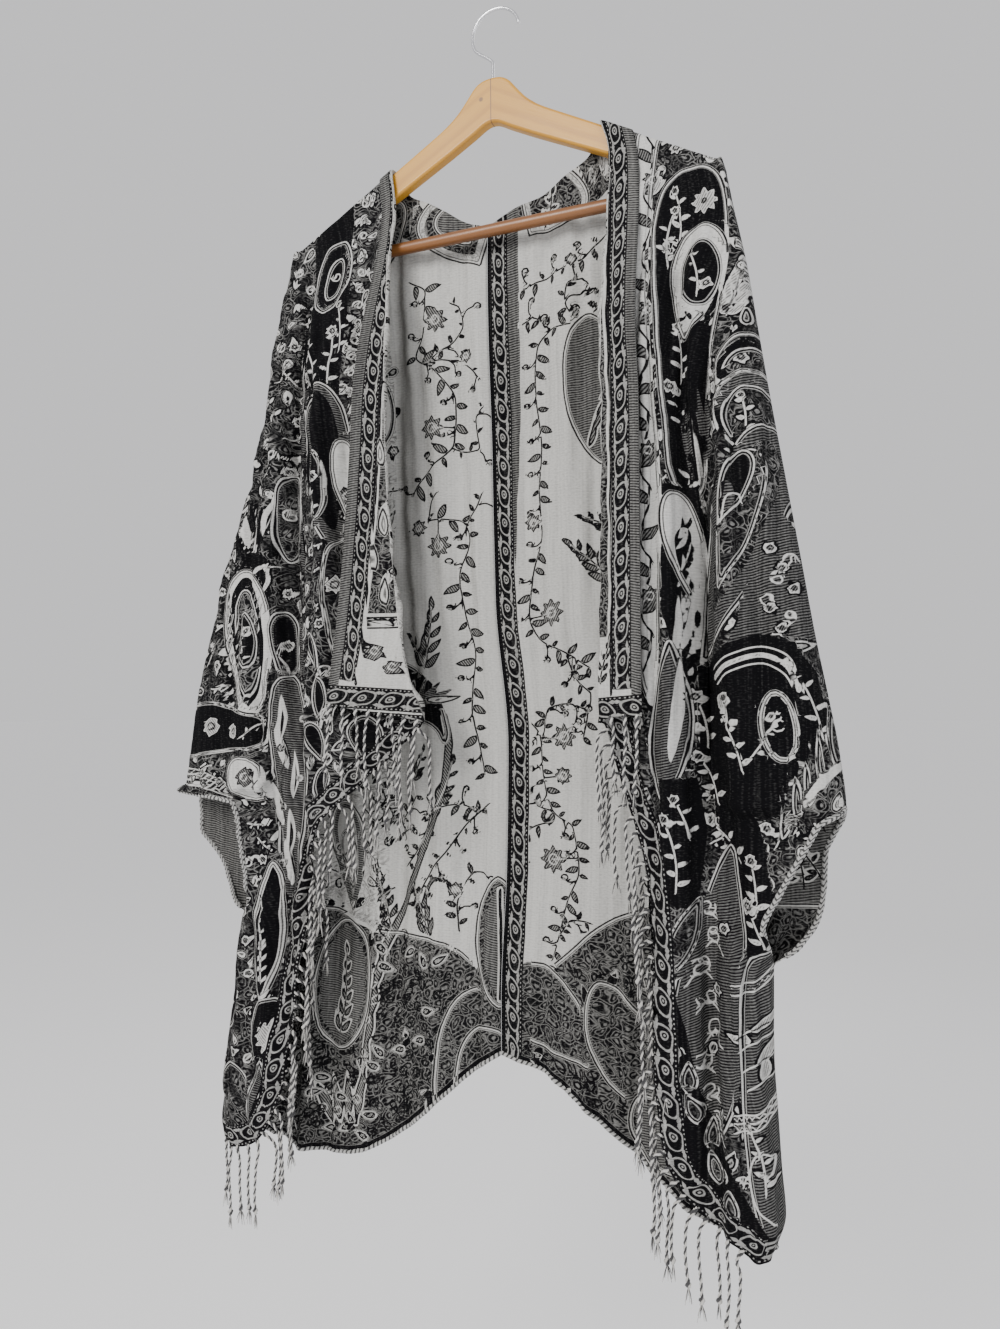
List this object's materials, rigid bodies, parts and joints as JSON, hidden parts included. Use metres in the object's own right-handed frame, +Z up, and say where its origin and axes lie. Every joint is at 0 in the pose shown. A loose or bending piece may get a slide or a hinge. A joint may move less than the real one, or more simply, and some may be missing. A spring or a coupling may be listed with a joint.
{
  "type": "fringe poncho",
  "caption": "Open-front fringe poncho of paisley shawl cloth with wide half sleeves, folded-back lapels, a pointed back hem and a fringed front edge, hung on a wooden hanger.",
  "frame": {"origin": "inner top of the hook's crook, the point that rests on the rail or peg", "axes": "+Z up along the hanger's stem, +X to the right as the front is seen, the front faces -Y and the back faces +Y"},
  "size_m": [0.6908, 0.1053, 1.227],
  "materials": {
    "cloth": "matte woven wool blend, black ground with off-white line pattern",
    "cloth_back": "matte woven wool blend, its light inner face showing in front",
    "cord": "twisted black and off-white yarn",
    "beech": "satin varnish",
    "dowel": "satin varnish, reddish",
    "chrome": "polished wire"
  },
  "bodies": {
    "root": {"front_left": "cloth", "front_right": "cloth", "back_left": "cloth_back", "back_right": "cloth_back", "fringe_left": "cord", "fringe_right": "cord", "hanger_arms": "beech", "hanger_bar": "dowel", "hanger_hook": "chrome"}
  },
  "joints": []
}
